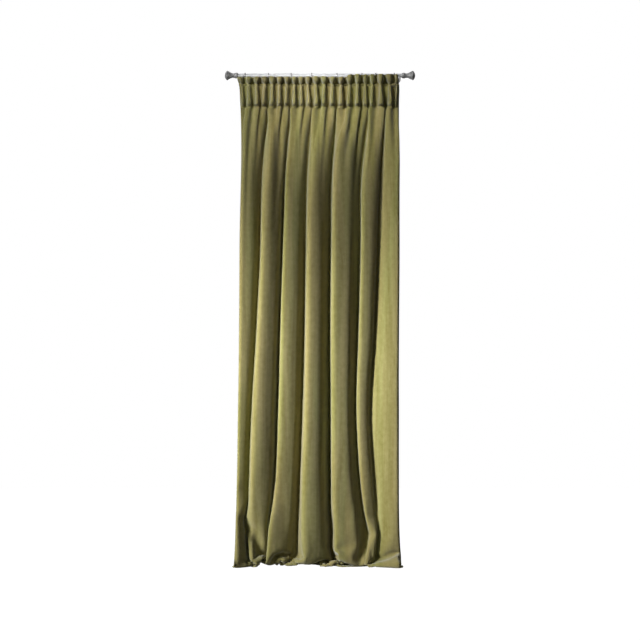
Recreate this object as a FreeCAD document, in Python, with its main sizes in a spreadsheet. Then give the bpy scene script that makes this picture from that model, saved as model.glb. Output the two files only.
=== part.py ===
import FreeCAD, Part
import math
import os

import Sketcher
from FreeCAD import Rotation, Vector

# A gathered velvet curtain on its rod set, in millimetres.
# X runs along the rod, -Y points into the room and +Z up.  The origin is on the
# wall, level with the rod and halfway between the two brackets.

doc = FreeCAD.newDocument("curtain")
dims = doc.addObject("Spreadsheet::Sheet", "Dims")

DRIVING_DIMENSIONS = {
    # rod and its wall brackets
    "rod_diameter": 19,
    "rod_wall": 1,
    "rod_length": 844,
    "rod_projection": 120,
    "bracket_spacing": 750,
    "plate_diameter": 50,
    "plate_thickness": 5,
    "screw_hole_diameter": 5,
    "screw_head_diameter": 9.5,
    "screw_spacing": 32,
    "arm_diameter": 10,
    "spigot_diameter": 6,
    "spigot_length": 3.5,
    "cup_width": 7,
    "cup_wall": 2.5,
    "cup_clearance": 0.1,
    "cup_back_lip": 6,
    "lock_screw_diameter": 4,
    "lock_screw_head": 8,
    "lock_screw_head_height": 6,
    "lock_screw_neck": 5.5,
    # finials
    "finial_length": 65,
    "collar_length": 22,
    "collar_end_diameter": 23,
    "collar_diameter": 28,
    "socket_clearance": 0.05,
    "grub_diameter": 4,
    "neck_diameter": 22,
    "shoulder_diameter": 38,
    "rim_diameter": 48,
    "rim_width": 5,
    "bell_wall": 2.5,
    "cap_height": 10,
    "cap_recess_diameter": 34,
    "cap_recess_depth": 3,
    # rings and hooks
    "ring_inner_diameter": 27,
    "ring_wire": 4,
    "eye_radius": 3.4,
    "eye_wire": 1.8,
    "hook_wire": 2,
    "hook_bend_radius": 3,
    "hook_foot_radius": 2.75,
    "hook_front_leg": 7,
    "hook_foot_height": -77,
    "hook_tip_height": -58,
    "ring_gap": 0.05,
    "ring_x_1": -366,
    "ring_x_2": -251,
    "ring_x_3": -141.5,
    "ring_x_4": -40.5,
    "ring_x_5": 83,
    "ring_x_6": 205,
    "ring_x_7": 273,
    "ring_x_8": 363.5,
    # heading tape and its gathering cords
    "tape_left": -388,
    "tape_right": 378,
    "tape_top": -45,
    "tape_height": 105,
    "tape_thickness": 1,
    "tape_front": -125,
    "pocket_width": 9,
    "pocket_height": 10,
    "pocket_depth": 4,
    "pocket_wall": 0.5,
    "pocket_top": -62,
    "cord_diameter": 1.6,
    "cord_y": -123.1,
    "cord_top": -52,
    "cord_pitch": 45,
    "knot_diameter": 4,
    # cloth
    "drop": 2400,
    "cloth_thickness": 1.5,
    "cloth_left": -390,
    "cloth_right": 384,
    "fold_count": 7,
    "pleats_per_fold": 3,
    "pleat_turn": 88,
    "header_height": 45,
    "header_lean": 15,
    "heading_height": 156,
    "heading_back": -126.6,
    "fold_turn": 104,
    "fold_top": 151,
    "folds_back": -93,
    "spread_left": -420,
    "spread_front": -250,
    "spread_back": -14,
    "spread_corner": 50,
    "spread_thickness": 4,
}
for row, (name, size) in enumerate(DRIVING_DIMENSIONS.items(), start=1):
    dims.set(f"A{row}", name)
    dims.set(f"B{row}", str(size))
    dims.setAlias(f"B{row}", name)
doc.recompute()

RING_COUNT = 8
SIDES = {"left": -1, "right": 1}


def value(expression):
    """What an expression of the sheet's dimensions comes to, in millimetres."""
    if isinstance(expression, (int, float)):
        return float(expression)
    found = dims.evalExpression(expression)
    return float(getattr(found, "Value", found))


def bound(thing, **expressions):
    """Binds properties of an object to the sheet: a double underscore stands for a dot."""
    for name, expression in expressions.items():
        thing.setExpression(name.replace("__", "."), str(expression))
    return thing


def placed(thing, x=0, y=0, z=0):
    """Puts an object where three expressions say."""
    for axis, expression in zip("xyz", (x, y, z)):
        thing.setExpression(f"Placement.Base.{axis}", str(expression))
    return thing


# ---- sketches --------------------------------------------------------------


def new_sketch(body, name, plane, height=0):
    """A sketch on one of its body's own origin planes, moved along its normal."""
    sketch = body.newObject("Sketcher::SketchObject", name)
    support = next(f for f in body.Origin.OriginFeatures if f.Role == plane)
    sketch.AttachmentSupport = [(support, "")]
    sketch.MapMode = "FlatFace"
    if height:
        sketch.setExpression("AttachmentOffset.Base.z", str(height))
    return sketch


def datum(sketch, constraint, expression):
    """Adds a constraint whose size is an expression of the sheet."""
    index = sketch.addConstraint(constraint)
    if not isinstance(expression, (int, float)):
        sketch.setExpression(f"Constraints[{index}]", expression)


def pin(sketch, geometry, spot, x, y):
    """Holds a point of a sketch at two expressions from the sketch's origin."""
    for kind, expression in (("DistanceX", x), ("DistanceY", y)):
        rule = Sketcher.Constraint(kind, -1, 1, geometry, spot, value(expression))
        datum(sketch, rule, expression)


def arc_between(start, end, radius):
    """The short arc between two points: anticlockwise if radius is positive."""
    chord = end - start
    left = Vector(-chord.y, chord.x, 0).normalize()
    rise = math.sqrt(max(radius**2 - (chord.Length / 2) ** 2, 0))
    centre = (start + end) / 2 + left * math.copysign(rise, radius)
    first, last = (start, end) if radius > 0 else (end, start)
    angles = [math.atan2(p.y - centre.y, p.x - centre.x) for p in (first, last)]
    circle = Part.Circle(centre, Vector(0, 0, 1), abs(radius))
    return Part.ArcOfCircle(circle, *angles)


def draw(sketch, corners, closed=True):
    """Draws lines and arcs through corners (x, y) or (x, y, radius of the arc that follows)."""
    spots = [Vector(value(c[0]), value(c[1]), 0) for c in corners]
    count = len(corners) if closed else len(corners) - 1
    pieces = []
    for i in range(count):
        start, end = spots[i], spots[(i + 1) % len(spots)]
        if len(corners[i]) == 2:
            geometry = sketch.addGeometry(Part.LineSegment(start, end), False)
            pieces.append((geometry, 1, 2))
            continue
        radius = value(corners[i][2])
        geometry = sketch.addGeometry(arc_between(start, end, radius), False)
        pieces.append((geometry, 1, 2) if radius > 0 else (geometry, 2, 1))
        size = corners[i][2]
        if not isinstance(size, (int, float)):
            size = f"abs({size})"
        rule = Sketcher.Constraint("Radius", geometry, abs(radius))
        datum(sketch, rule, size)
    for i in range(count if closed else count - 1):
        geometry, _, end = pieces[i]
        following, start, _ = pieces[(i + 1) % count]
        sketch.addConstraint(
            Sketcher.Constraint("Coincident", geometry, end, following, start)
        )
    for (geometry, start, _), corner in zip(pieces, corners):
        pin(sketch, geometry, start, corner[0], corner[1])
    if not closed:
        geometry, _, end = pieces[-1]
        pin(sketch, geometry, end, corners[-1][0], corners[-1][1])


def circle(sketch, x, y, diameter):
    """A circle on a sketch, with its centre and diameter bound to the sheet."""
    centre = Vector(value(x), value(y), 0)
    round_line = Part.Circle(centre, Vector(0, 0, 1), value(diameter) / 2)
    geometry = sketch.addGeometry(round_line, False)
    pin(sketch, geometry, 3, x, y)
    rule = Sketcher.Constraint("Diameter", geometry, value(diameter))
    datum(sketch, rule, diameter)


# ---- solids ----------------------------------------------------------------

subparts = []


def new_body(label):
    """An empty body that becomes the sub-part of that name."""
    body = doc.addObject("PartDesign::Body", label)
    body.Label = label
    subparts.append(body)
    return body


def keep(thing, label):
    """Names a finished object as a sub-part."""
    thing.Label = label
    subparts.append(thing)
    return thing


def pad(body, sketch, length, both_ways=False, backwards=False):
    """A pad as long as an expression says."""
    feature = body.newObject("PartDesign::Pad", sketch.Name + "_pad")
    feature.Profile = sketch
    feature.SideType = "Symmetric" if both_ways else "One side"
    feature.Reversed = backwards
    feature.setExpression("Length", str(length))
    return feature


def revolve(body, sketch, axis):
    """A full turn of a sketch about its H_Axis or V_Axis."""
    feature = body.newObject("PartDesign::Revolution", sketch.Name + "_turned")
    feature.Profile = sketch
    feature.ReferenceAxis = (sketch, [axis])
    feature.Angle = 360
    return feature


def pocket(body, sketch, depth, backwards=False):
    """A pocket as deep as an expression says."""
    feature = body.newObject("PartDesign::Pocket", sketch.Name + "_cut")
    feature.Profile = sketch
    feature.Reversed = backwards
    feature.setExpression("Length", str(depth))
    return feature


def primitive(kind, name, **sizes):
    """A Part primitive with its sizes bound to the sheet."""
    return bound(doc.addObject(kind, name), **sizes)


def fused(name, shapes):
    """Several shapes made one."""
    joined = doc.addObject("Part::MultiFuse", name)
    joined.Shapes = shapes
    return joined


# ---- rod -------------------------------------------------------------------


def rod_tube():
    """The drawn steel tube that the rings slide on."""
    body = new_body("rod_tube")
    section = new_sketch(body, "rod_section", "YZ_Plane")
    circle(section, 0, 0, "Dims.rod_diameter")
    circle(section, 0, 0, "Dims.rod_diameter - 2 * Dims.rod_wall")
    pad(body, section, "Dims.rod_length", both_ways=True)
    placed(body, y="-Dims.rod_projection")


# ---- wall brackets ---------------------------------------------------------


def wall_plate(side, sign):
    """A round plate with two countersunk screw holes and a seat for the arm."""
    disc = primitive(
        "Part::Cylinder",
        f"{side}_disc",
        Radius="Dims.plate_diameter / 2",
        Height="Dims.plate_thickness",
    )
    disc.Placement.Rotation = Rotation(Vector(1, 0, 0), 90)
    sink_depth = "(Dims.screw_head_diameter - Dims.screw_hole_diameter) / 2"
    tools = []
    for name, way in (("upper", 1), ("lower", -1)):
        hole = primitive(
            "Part::Cylinder",
            f"{side}_{name}_hole",
            Radius="Dims.screw_hole_diameter / 2",
            Height="Dims.plate_thickness",
        )
        sink = primitive(
            "Part::Cone",
            f"{side}_{name}_countersink",
            Radius1="Dims.screw_hole_diameter / 2",
            Radius2="Dims.screw_head_diameter / 2",
            Height=sink_depth,
        )
        height = f"{way} * Dims.screw_spacing / 2"
        for tool in (hole, sink):
            tool.Placement.Rotation = Rotation(Vector(1, 0, 0), 90)
        placed(hole, z=height)
        placed(sink, y=f"{sink_depth} - Dims.plate_thickness", z=height)
        tools += [hole, sink]
    seat = primitive(
        "Part::Cylinder",
        f"{side}_arm_seat",
        Radius="Dims.spigot_diameter / 2",
        Height="Dims.spigot_length",
    )
    seat.Placement.Rotation = Rotation(Vector(1, 0, 0), 90)
    placed(seat, y="Dims.spigot_length - Dims.plate_thickness")
    plate = doc.addObject("Part::Cut", f"{side}_plate_cut")
    plate.Base = disc
    plate.Tool = fused(f"{side}_plate_tools", tools + [seat])
    placed(plate, x=f"{sign} * Dims.bracket_spacing / 2")
    keep(plate, f"{side}_wall_plate")


def bracket_arm(side, sign):
    """The bar that stands out from the wall, with the open cup that holds the rod."""
    body = new_body(f"{side}_bracket_arm")
    inner = "(Dims.rod_diameter / 2 + Dims.cup_clearance)"
    outer = f"({inner} + Dims.cup_wall)"
    middle = "-Dims.rod_projection"
    front_inner, front_outer = f"{middle} - {inner}", f"{middle} - {outer}"
    back_inner, back_outer = f"{middle} + {inner}", f"{middle} + {outer}"
    cup = new_sketch(body, f"{side}_cup", "YZ_Plane")
    quarter_out, quarter_in = outer, f"-1 * {inner}"
    draw(
        cup,
        [
            (front_outer, 0, quarter_out),
            (middle, f"-1 * {outer}", quarter_out),
            (back_outer, 0),
            (back_outer, "Dims.cup_back_lip"),
            (back_inner, "Dims.cup_back_lip"),
            (back_inner, 0, quarter_in),
            (middle, f"-1 * {inner}", quarter_in),
            (front_inner, 0),
        ],
    )
    pad(body, cup, "Dims.cup_width", both_ways=True)
    bar = new_sketch(body, f"{side}_arm_outline", "XY_Plane")
    wall_end = "Dims.spigot_length - Dims.plate_thickness"
    cup_end = f"{back_outer} - Dims.cup_wall / 2"
    draw(
        bar,
        [
            (0, wall_end),
            (0, cup_end),
            ("Dims.arm_diameter / 2", cup_end),
            ("Dims.arm_diameter / 2", "-Dims.plate_thickness"),
            ("Dims.spigot_diameter / 2", "-Dims.plate_thickness"),
            ("Dims.spigot_diameter / 2", wall_end),
        ],
    )
    revolve(body, bar, "V_Axis")
    bore = new_sketch(body, f"{side}_lock_hole", "XY_Plane")
    circle(bore, 0, middle, "Dims.lock_screw_diameter + 0.1")
    pocket(body, bore, "Dims.rod_diameter")
    placed(body, x=f"{sign} * Dims.bracket_spacing / 2")


def lock_screw(side, sign):
    """The thumb screw that comes up through the cup and grips the rod."""
    body = new_body(f"{side}_lock_screw")
    tip = "-(Dims.rod_diameter / 2 + Dims.cup_clearance)"
    neck = f"{tip} - Dims.cup_wall - Dims.lock_screw_neck"
    foot = f"{neck} - Dims.lock_screw_head_height"
    outline = new_sketch(body, f"{side}_lock_outline", "XZ_Plane")
    draw(
        outline,
        [
            (0, tip),
            (0, foot),
            ("Dims.lock_screw_head / 2 - 0.6", foot),
            ("Dims.lock_screw_head / 2", f"{foot} + 0.6"),
            ("Dims.lock_screw_head / 2", f"{neck} - 0.6"),
            ("Dims.lock_screw_head / 2 - 0.6", neck),
            ("Dims.lock_screw_diameter / 2", neck),
            ("Dims.lock_screw_diameter / 2", tip),
        ],
    )
    revolve(body, outline, "V_Axis")
    where = f"{sign} * Dims.bracket_spacing / 2"
    placed(body, x=where, y="-Dims.rod_projection")


# ---- finials ---------------------------------------------------------------


def turned(label, side, corners):
    """A piece turned about the rod's axis, drawn outwards from the rod's end."""
    body = new_body(label)
    outline = new_sketch(body, f"{label}_outline", "XZ_Plane")
    draw(outline, corners)
    revolve(body, outline, "H_Axis")
    return body


def finial(side, sign):
    """A socket collar, a hollow trumpet bell and a domed cap."""
    rod_end = "Dims.rod_length / 2"
    start = f"({rod_end} - Dims.collar_length)"
    bore = "(Dims.rod_diameter / 2 + Dims.socket_clearance)"
    neck = "Dims.neck_diameter / 2"
    stop = f"({start} + Dims.collar_length + Dims.socket_clearance)"
    collar_end = f"({start} + Dims.collar_length + 3)"
    collar = turned(
        f"{side}_finial_collar",
        side,
        [
            (start, bore),
            (stop, bore),
            (stop, 0),
            (collar_end, 0),
            (collar_end, neck),
            (f"{start} + 19", neck, "30"),
            (f"{start} + 10", "Dims.collar_diameter / 2", "20"),
            (start, "Dims.collar_end_diameter / 2"),
        ],
    )
    hole = new_sketch(collar, f"{side}_grub_hole", "XY_Plane")
    circle(hole, f"{start} + 10", 0, "Dims.grub_diameter + 0.1")
    pocket(collar, hole, "Dims.collar_diameter")
    grub = primitive(
        "Part::Cylinder",
        f"{side}_grub",
        Radius="Dims.grub_diameter / 2",
        Height="Dims.collar_diameter / 2 - Dims.rod_diameter / 2 - 0.6",
    )
    keep(grub, f"{side}_finial_grub_screw")

    rim_start = f"({start} + Dims.finial_length - Dims.cap_height - Dims.rim_width)"
    rim_end = f"({start} + Dims.finial_length - Dims.cap_height)"
    shoulder = f"({rim_start} - 7)"
    inside = "Dims.cap_recess_diameter / 2"
    floor = f"({rim_end} - Dims.cap_recess_depth)"
    bell = turned(
        f"{side}_finial_bell",
        side,
        [
            (collar_end, 0),
            (f"{collar_end} + 6", 0),
            (f"{collar_end} + 6", f"{neck} - Dims.bell_wall"),
            (floor, f"{inside} - 1"),
            (floor, inside),
            (rim_end, inside),
            (rim_end, "Dims.rim_diameter / 2 - 1.5"),
            (f"{rim_end} - 2", "Dims.rim_diameter / 2"),
            (rim_start, "Dims.rim_diameter / 2 - 2"),
            (shoulder, "Dims.shoulder_diameter / 2", "-40"),
            (collar_end, neck),
        ],
    )
    cap = turned(
        f"{side}_finial_cap",
        side,
        [
            (floor, 0),
            (f"{start} + Dims.finial_length", 0, "30"),
            (f"{rim_end} + 2.5", "Dims.rim_diameter / 2 - 3.5"),
            (rim_end, "Dims.rim_diameter / 2 - 2.5"),
            (rim_end, inside),
            (floor, inside),
        ],
    )
    for piece in (collar, bell, cap):
        placed(piece, y="-Dims.rod_projection")
        if sign < 0:
            piece.Placement.Rotation = Rotation(Vector(0, 0, 1), 180)
    grub.Placement.Rotation = Rotation(Vector(1, 0, 0), 180)
    grub_x = f"{sign} * ({start} + 10)"
    placed(grub, x=grub_x, y="-Dims.rod_projection", z="-(Dims.rod_diameter / 2 + 0.02)")


# ---- rings and hooks -------------------------------------------------------

RING_BORE = "Dims.ring_inner_diameter / 2"
RING_CENTRE = f"(Dims.rod_diameter / 2 - {RING_BORE} + Dims.ring_gap)"
RING_FOOT = f"({RING_CENTRE} - {RING_BORE} - Dims.ring_wire)"
EYE_CENTRE = f"({RING_FOOT} - Dims.eye_radius + 0.5)"
HOOK_CROWN = (
    f"({EYE_CENTRE} - Dims.eye_radius + Dims.eye_wire / 2 + Dims.hook_wire / 2"
    " - Dims.hook_bend_radius + Dims.ring_gap)"
)


def ring(number):
    """A round-wire ring with a small eye welded under it."""
    hoop = primitive(
        "Part::Torus",
        f"hoop_{number}",
        Radius1=f"{RING_BORE} + Dims.ring_wire / 2",
        Radius2="Dims.ring_wire / 2",
    )
    hoop.Placement.Rotation = Rotation(Vector(0, 1, 0), 90)
    placed(hoop, z=RING_CENTRE)
    eye = primitive(
        "Part::Torus",
        f"eye_{number}",
        Radius1="Dims.eye_radius",
        Radius2="Dims.eye_wire / 2",
    )
    eye.Placement.Rotation = Rotation(Vector(1, 0, 0), 90)
    placed(eye, z=EYE_CENTRE)
    joined = fused(f"ring_{number}_weld", [hoop, eye])
    placed(joined, x=f"Dims.ring_x_{number}", y="-Dims.rod_projection")
    keep(joined, f"ring_{number}")


def hook(number):
    """A bent wire hook: over the eye, down behind the tape and up into its pocket."""
    body = new_body(f"hook_{number}")
    front = "-1 * Dims.hook_bend_radius"
    back = "Dims.hook_bend_radius"
    prong = f"({back} - 2 * Dims.hook_foot_radius)"
    end = f"({HOOK_CROWN} - Dims.hook_front_leg)"
    path = new_sketch(body, f"hook_path_{number}", "YZ_Plane")
    half_crown = "-Dims.hook_bend_radius"
    half_foot = "-Dims.hook_foot_radius"
    foot_low = "Dims.hook_foot_height - Dims.hook_foot_radius"
    draw(
        path,
        [
            (front, end),
            (front, HOOK_CROWN, half_crown),
            (0, f"{HOOK_CROWN} + Dims.hook_bend_radius", half_crown),
            (back, HOOK_CROWN),
            (back, "Dims.hook_foot_height", half_foot),
            (f"{back} - Dims.hook_foot_radius", foot_low, half_foot),
            (prong, "Dims.hook_foot_height"),
            (prong, "Dims.hook_tip_height"),
        ],
        closed=False,
    )
    section = new_sketch(body, f"hook_section_{number}", "XY_Plane", end)
    circle(section, 0, front, "Dims.hook_wire")
    wire = body.newObject("PartDesign::AdditivePipe", f"hook_wire_{number}")
    wire.Profile = section
    wire.Spine = (path, [f"Edge{i + 1}" for i in range(path.GeometryCount)])
    placed(body, x=f"Dims.ring_x_{number}", y="-Dims.rod_projection")


# ---- heading tape and gathering cords --------------------------------------


def heading_tape():
    """The woven tape sewn behind the heading, with a pocket for each hook."""
    band = primitive(
        "Part::Box",
        "tape_band",
        Length="Dims.tape_right - Dims.tape_left",
        Width="Dims.tape_thickness",
        Height="Dims.tape_height",
    )
    placed(band, "Dims.tape_left", "Dims.tape_front", "Dims.tape_top - Dims.tape_height")
    pockets = []
    bottom = "Dims.pocket_top - Dims.pocket_height"
    sewn_line = "Dims.tape_front + Dims.tape_thickness / 2"
    for number in range(1, RING_COUNT + 1):
        outer = primitive(
            "Part::Box",
            f"pocket_outer_{number}",
            Length="Dims.pocket_width",
            Width="Dims.pocket_depth",
            Height="Dims.pocket_height",
        )
        inner = primitive(
            "Part::Box",
            f"pocket_inner_{number}",
            Length="Dims.pocket_width - 2 * Dims.pocket_wall",
            Width="Dims.pocket_depth - Dims.pocket_wall",
            Height="Dims.pocket_height",
        )
        left = f"Dims.ring_x_{number} - Dims.pocket_width / 2"
        placed(outer, left, sewn_line, bottom)
        placed(inner, f"{left} + Dims.pocket_wall", sewn_line, bottom)
        sleeve = doc.addObject("Part::Cut", f"pocket_{number}")
        sleeve.Base, sleeve.Tool = outer, inner
        pockets.append(sleeve)
    keep(fused("tape_with_pockets", [band] + pockets), "heading_tape")


def gathering_cord(name, row):
    """A cord drawn straight through the tape, with a knot at each end."""
    reach = "(Dims.knot_diameter / 2 + 0.2)"
    strand = primitive(
        "Part::Cylinder",
        f"strand_{name}",
        Radius="Dims.cord_diameter / 2",
        Height=f"Dims.tape_right - Dims.tape_left + 2 * {reach}",
    )
    strand.Placement.Rotation = Rotation(Vector(0, 1, 0), 90)
    height = f"Dims.cord_top - {row} * Dims.cord_pitch"
    placed(strand, f"Dims.tape_left - {reach}", "Dims.cord_y", height)
    knots = []
    for end, way in SIDES.items():
        knot = primitive(
            "Part::Sphere", f"knot_{name}_{end}", Radius="Dims.knot_diameter / 2"
        )
        beyond = f"Dims.tape_{end} + {way} * {reach}"
        knots.append(placed(knot, beyond, "Dims.cord_y", height))
    keep(fused(f"cord_{name}", [strand] + knots), f"{name}_gathering_cord")


# ---- velvet panel ----------------------------------------------------------

GATHERED = "(Dims.cloth_right - Dims.cloth_left)"


def wave_profile(sketch, pitch, turn):
    """One wave of cloth, from the back of a fold round its front to the next back.

    The cloth leans over by the angle turn where it passes halfway."""
    half = "Dims.cloth_thickness / 2"
    bend = f"({pitch} / (4 * sin({turn})))"
    depth = f"(2 * {bend} * (1 - cos({turn})))"
    tight, wide = f"({bend} - {half})", f"({bend} + {half})"
    aside, along = f"{half} * sin({turn})", f"{half} * cos({turn})"
    draw(
        sketch,
        [
            (f"-{pitch} / 2", half, f"-1 * {wide}"),
            (f"-{pitch} / 4 + {aside}", f"{along} - {depth} / 2", tight),
            (0, f"{half} - {depth}", tight),
            (f"{pitch} / 4 - {aside}", f"{along} - {depth} / 2", f"-1 * {wide}"),
            (f"{pitch} / 2", half),
            (f"{pitch} / 2", f"-{half}", tight),
            (f"{pitch} / 4 + {aside}", f"-{along} - {depth} / 2", f"-1 * {wide}"),
            (0, f"-{half} - {depth}", f"-1 * {wide}"),
            (f"-{pitch} / 4 - {aside}", f"-{along} - {depth} / 2", tight),
            (f"-{pitch} / 2", f"-{half}"),
        ],
    )


def repeated(body, features, pitch, count):
    """The features again and again along the rod, once per pitch."""
    pattern = body.newObject("PartDesign::LinearPattern", body.Name + "_repeats")
    pattern.Originals = features
    axis = next(f for f in body.Origin.OriginFeatures if f.Role == "X_Axis")
    pattern.Direction = (axis, [""])
    pattern.setExpression("Length", f"{pitch} * ({count} - 1)")
    pattern.setExpression("Occurrences", count)
    body.Tip = pattern


def pleated_heading():
    """The heading's narrow pleats, whose top leans out over the rings."""
    body = doc.addObject("PartDesign::Body", "pleated_heading")
    count = "Dims.fold_count * Dims.pleats_per_fold"
    pitch = f"({GATHERED} / ({count}))"
    turn = "Dims.pleat_turn * 1 deg"
    foot = new_sketch(body, "pleat_foot", "XY_Plane", "-Dims.heading_height")
    wave_profile(foot, pitch, turn)
    upright = pad(body, foot, "Dims.heading_height - Dims.header_height")
    brow = new_sketch(body, "pleat_brow", "XY_Plane", "-Dims.header_height")
    wave_profile(brow, pitch, turn)
    header = pad(body, brow, "Dims.header_height")
    header.UseCustomVector = True
    header.Direction = Vector(0, -1, 3)
    header.setExpression("Direction.y", "-Dims.header_lean")
    header.setExpression("Direction.z", "Dims.header_height")
    header.AlongSketchNormal = True
    repeated(body, [upright, header], pitch, count)
    half = "Dims.cloth_thickness / 2"
    placed(body, f"Dims.cloth_left + {pitch} / 2", f"Dims.heading_back - {half}")
    return body


def hanging_folds():
    """The deep folds below the heading, whose hem lies on the floor."""
    body = doc.addObject("PartDesign::Body", "hanging_folds")
    pitch = f"({GATHERED} / Dims.fold_count)"
    foot = new_sketch(body, "fold_foot", "XY_Plane", "-Dims.drop")
    wave_profile(foot, pitch, "Dims.fold_turn * 1 deg")
    folds = pad(body, foot, "Dims.drop - Dims.fold_top")
    repeated(body, [folds], pitch, "Dims.fold_count")
    middle = f"(Dims.cloth_left + {pitch} / 2)"
    spread = new_sketch(body, "floor_spread", "XY_Plane", "-Dims.drop")
    left, right = f"Dims.spread_left - {middle}", f"Dims.cloth_right - {middle}"
    front = "Dims.spread_front - Dims.folds_back"
    back = "Dims.spread_back - Dims.folds_back"
    corner = "Dims.spread_corner"
    draw(
        spread,
        [
            (left, f"{front} + {corner}", corner),
            (f"{left} + {corner}", front),
            (f"{right} - {corner}", front, corner),
            (right, f"{front} + {corner}"),
            (right, f"{back} - {corner}", corner),
            (f"{right} - {corner}", back),
            (f"{left} + {corner}", back, corner),
            (left, f"{back} - {corner}"),
        ],
    )
    pad(body, spread, "Dims.spread_thickness")
    placed(body, middle, "Dims.folds_back")
    return body


def velvet_panel():
    """One cloth: pleated heading, hanging folds and the hem spread on the floor."""
    keep(fused("velvet_cloth", [pleated_heading(), hanging_folds()]), "velvet_panel")


rod_tube()
for side, sign in SIDES.items():
    wall_plate(side, sign)
    bracket_arm(side, sign)
    lock_screw(side, sign)
    finial(side, sign)
for number in range(1, RING_COUNT + 1):
    ring(number)
    hook(number)
heading_tape()
for row, name in enumerate(("top", "middle", "bottom")):
    gathering_cord(name, row)
velvet_panel()
doc.recompute()

# ---- checks and export -----------------------------------------------------

for thing in doc.Objects:
    if {"Invalid", "Error"} & set(thing.State):
        raise RuntimeError(f"{thing.Label} did not build: {thing.State}")
os.makedirs("parts", exist_ok=True)
for part in subparts:
    shape = part.Shape
    if shape.isNull() or not shape.isValid() or not shape.Solids:
        raise RuntimeError(f"{part.Label} is not a sound solid")
    size = shape.BoundBox
    print(
        f"{part.Label:26s} {len(shape.Solids)} solid {shape.Volume / 1000:9.3f} cm3"
        f"  x {size.XMin:.1f}..{size.XMax:.1f} y {size.YMin:.1f}..{size.YMax:.1f}"
        f" z {size.ZMin:.1f}..{size.ZMax:.1f}"
    )
    shape.exportStep(os.path.join("parts", part.Label + ".step"))
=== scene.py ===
import math

import bpy
import numpy as np
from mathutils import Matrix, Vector


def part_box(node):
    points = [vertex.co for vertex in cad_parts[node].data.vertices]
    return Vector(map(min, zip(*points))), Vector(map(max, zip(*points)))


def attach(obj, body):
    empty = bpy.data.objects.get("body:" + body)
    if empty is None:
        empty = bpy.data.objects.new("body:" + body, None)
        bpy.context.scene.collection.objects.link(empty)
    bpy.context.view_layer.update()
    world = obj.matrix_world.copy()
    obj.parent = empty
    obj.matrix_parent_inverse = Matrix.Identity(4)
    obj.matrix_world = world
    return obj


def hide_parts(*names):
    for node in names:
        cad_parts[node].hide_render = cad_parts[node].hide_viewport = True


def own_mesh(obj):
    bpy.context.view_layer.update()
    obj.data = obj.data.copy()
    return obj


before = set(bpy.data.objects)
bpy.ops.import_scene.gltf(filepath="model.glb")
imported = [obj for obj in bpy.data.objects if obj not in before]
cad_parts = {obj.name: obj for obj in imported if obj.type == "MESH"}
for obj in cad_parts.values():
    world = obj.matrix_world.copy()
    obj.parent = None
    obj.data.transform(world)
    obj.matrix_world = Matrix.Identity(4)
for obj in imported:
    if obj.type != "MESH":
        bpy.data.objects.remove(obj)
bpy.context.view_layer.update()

# ---- Velvet curtain ---------------------------------------------------------
# One width of olive cut-pile velvet, 1.40 m wide and cut 2.50 m long, unlined.
# Its top 150 mm are drawn up into pencil pleats and hang from the hooks; below,
# they run together into seven folds, and the hem lies crumpled on the floor.

cloth_width, cloth_length, cloth_thickness = 1.40, 2.50, 0.0016
hem_turn = 0.0013
cloth_left, cloth_right = -0.392, 0.386
sewn_back = -0.1262
upper_seam, lower_seam = -0.045, -0.148
floor_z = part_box("velvet_panel")[0][2]
hook_x = [sum(corner[0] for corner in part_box(f"hook_{n}")) / 2 for n in range(1, 9)]

# The hooks hold the tape at these pleats; the hollows between folds start at some of them.
pleats_between_hooks = (3, 3, 3, 3, 3, 2, 2)
pleat_count = sum(pleats_between_hooks) + 2
pleat_lines = [cloth_left]
for here, there, pleats in zip(hook_x, hook_x[1:], pleats_between_hooks):
    pleat_lines += list(np.linspace(here, there, pleats + 1)[:-1])
pleat_lines = np.array(pleat_lines + [hook_x[-1], cloth_right])
pleat_shares = (pleat_lines - cloth_left) / (cloth_right - cloth_left)

# Where the hollows between the seven folds run, from the heading down to the floor.
hollow_heights = (-0.15, -0.52, -0.87, -1.26, -1.66, -2.04, -2.26)
hollow_pleats = (4, 7, 10, 13, 17, 19)
hollow_lines = (
    (-0.287, -0.297, -0.317, -0.341, -0.352, -0.350),
    (-0.171, -0.185, -0.197, -0.207, -0.226, -0.258),
    (-0.066, -0.073, -0.079, -0.090, -0.104, -0.112),
    (0.054, 0.047, 0.044, 0.047, 0.050, 0.062),
    (0.199, 0.194, 0.185, 0.176, 0.200, 0.230),
    (0.296, 0.283, 0.268, 0.246, 0.270, 0.285),
)

# The side hems, and how much of each fold is its lit flank and its tucked one.
edge_heights = (0.0, -0.05, -0.13, -0.85, -1.58, -2.30, -2.50)
left_edge = (-0.404, -0.395, -0.390, -0.394, -0.400, -0.414, -0.424)
right_edge = (0.380, 0.387, 0.386, 0.387, 0.382, 0.392, 0.404)
lit_flanks = (0.30, 0.36, 0.32, 0.37, 0.34, 0.36, 0.24)
tucked_flanks = (0.20, 0.18, 0.22, 0.27, 0.24, 0.17, 0.14)


def eased(low, high, x):
    """0 below low, 1 above high, with an even curve between; the other way if high is less."""
    share = np.clip((x - low) / (high - low), 0, 1)
    return share * share * (3 - 2 * share)


def curve_through(x, spots, values, level_top=True):
    """A smooth line through a few values, unchanging beyond both ends."""
    spots, values = np.array(spots, float), np.array(values, float)
    if spots[0] > spots[-1]:
        spots, values = spots[::-1], values[::-1]
    slope = np.gradient(values, spots)
    slope[0] = 0
    if level_top:
        slope[-1] = 0
    at = np.clip(np.searchsorted(spots, x) - 1, 0, len(spots) - 2)
    gap = spots[at + 1] - spots[at]
    share = np.clip((x - spots[at]) / gap, 0, 1)
    first, last = values[at], values[at + 1]
    pull, push = slope[at] * gap, slope[at + 1] * gap
    return (
        first * (1 + 2 * share) * (1 - share) ** 2
        + pull * share * (1 - share) ** 2
        + last * share**2 * (3 - 2 * share)
        + push * share**2 * (share - 1)
    )


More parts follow.
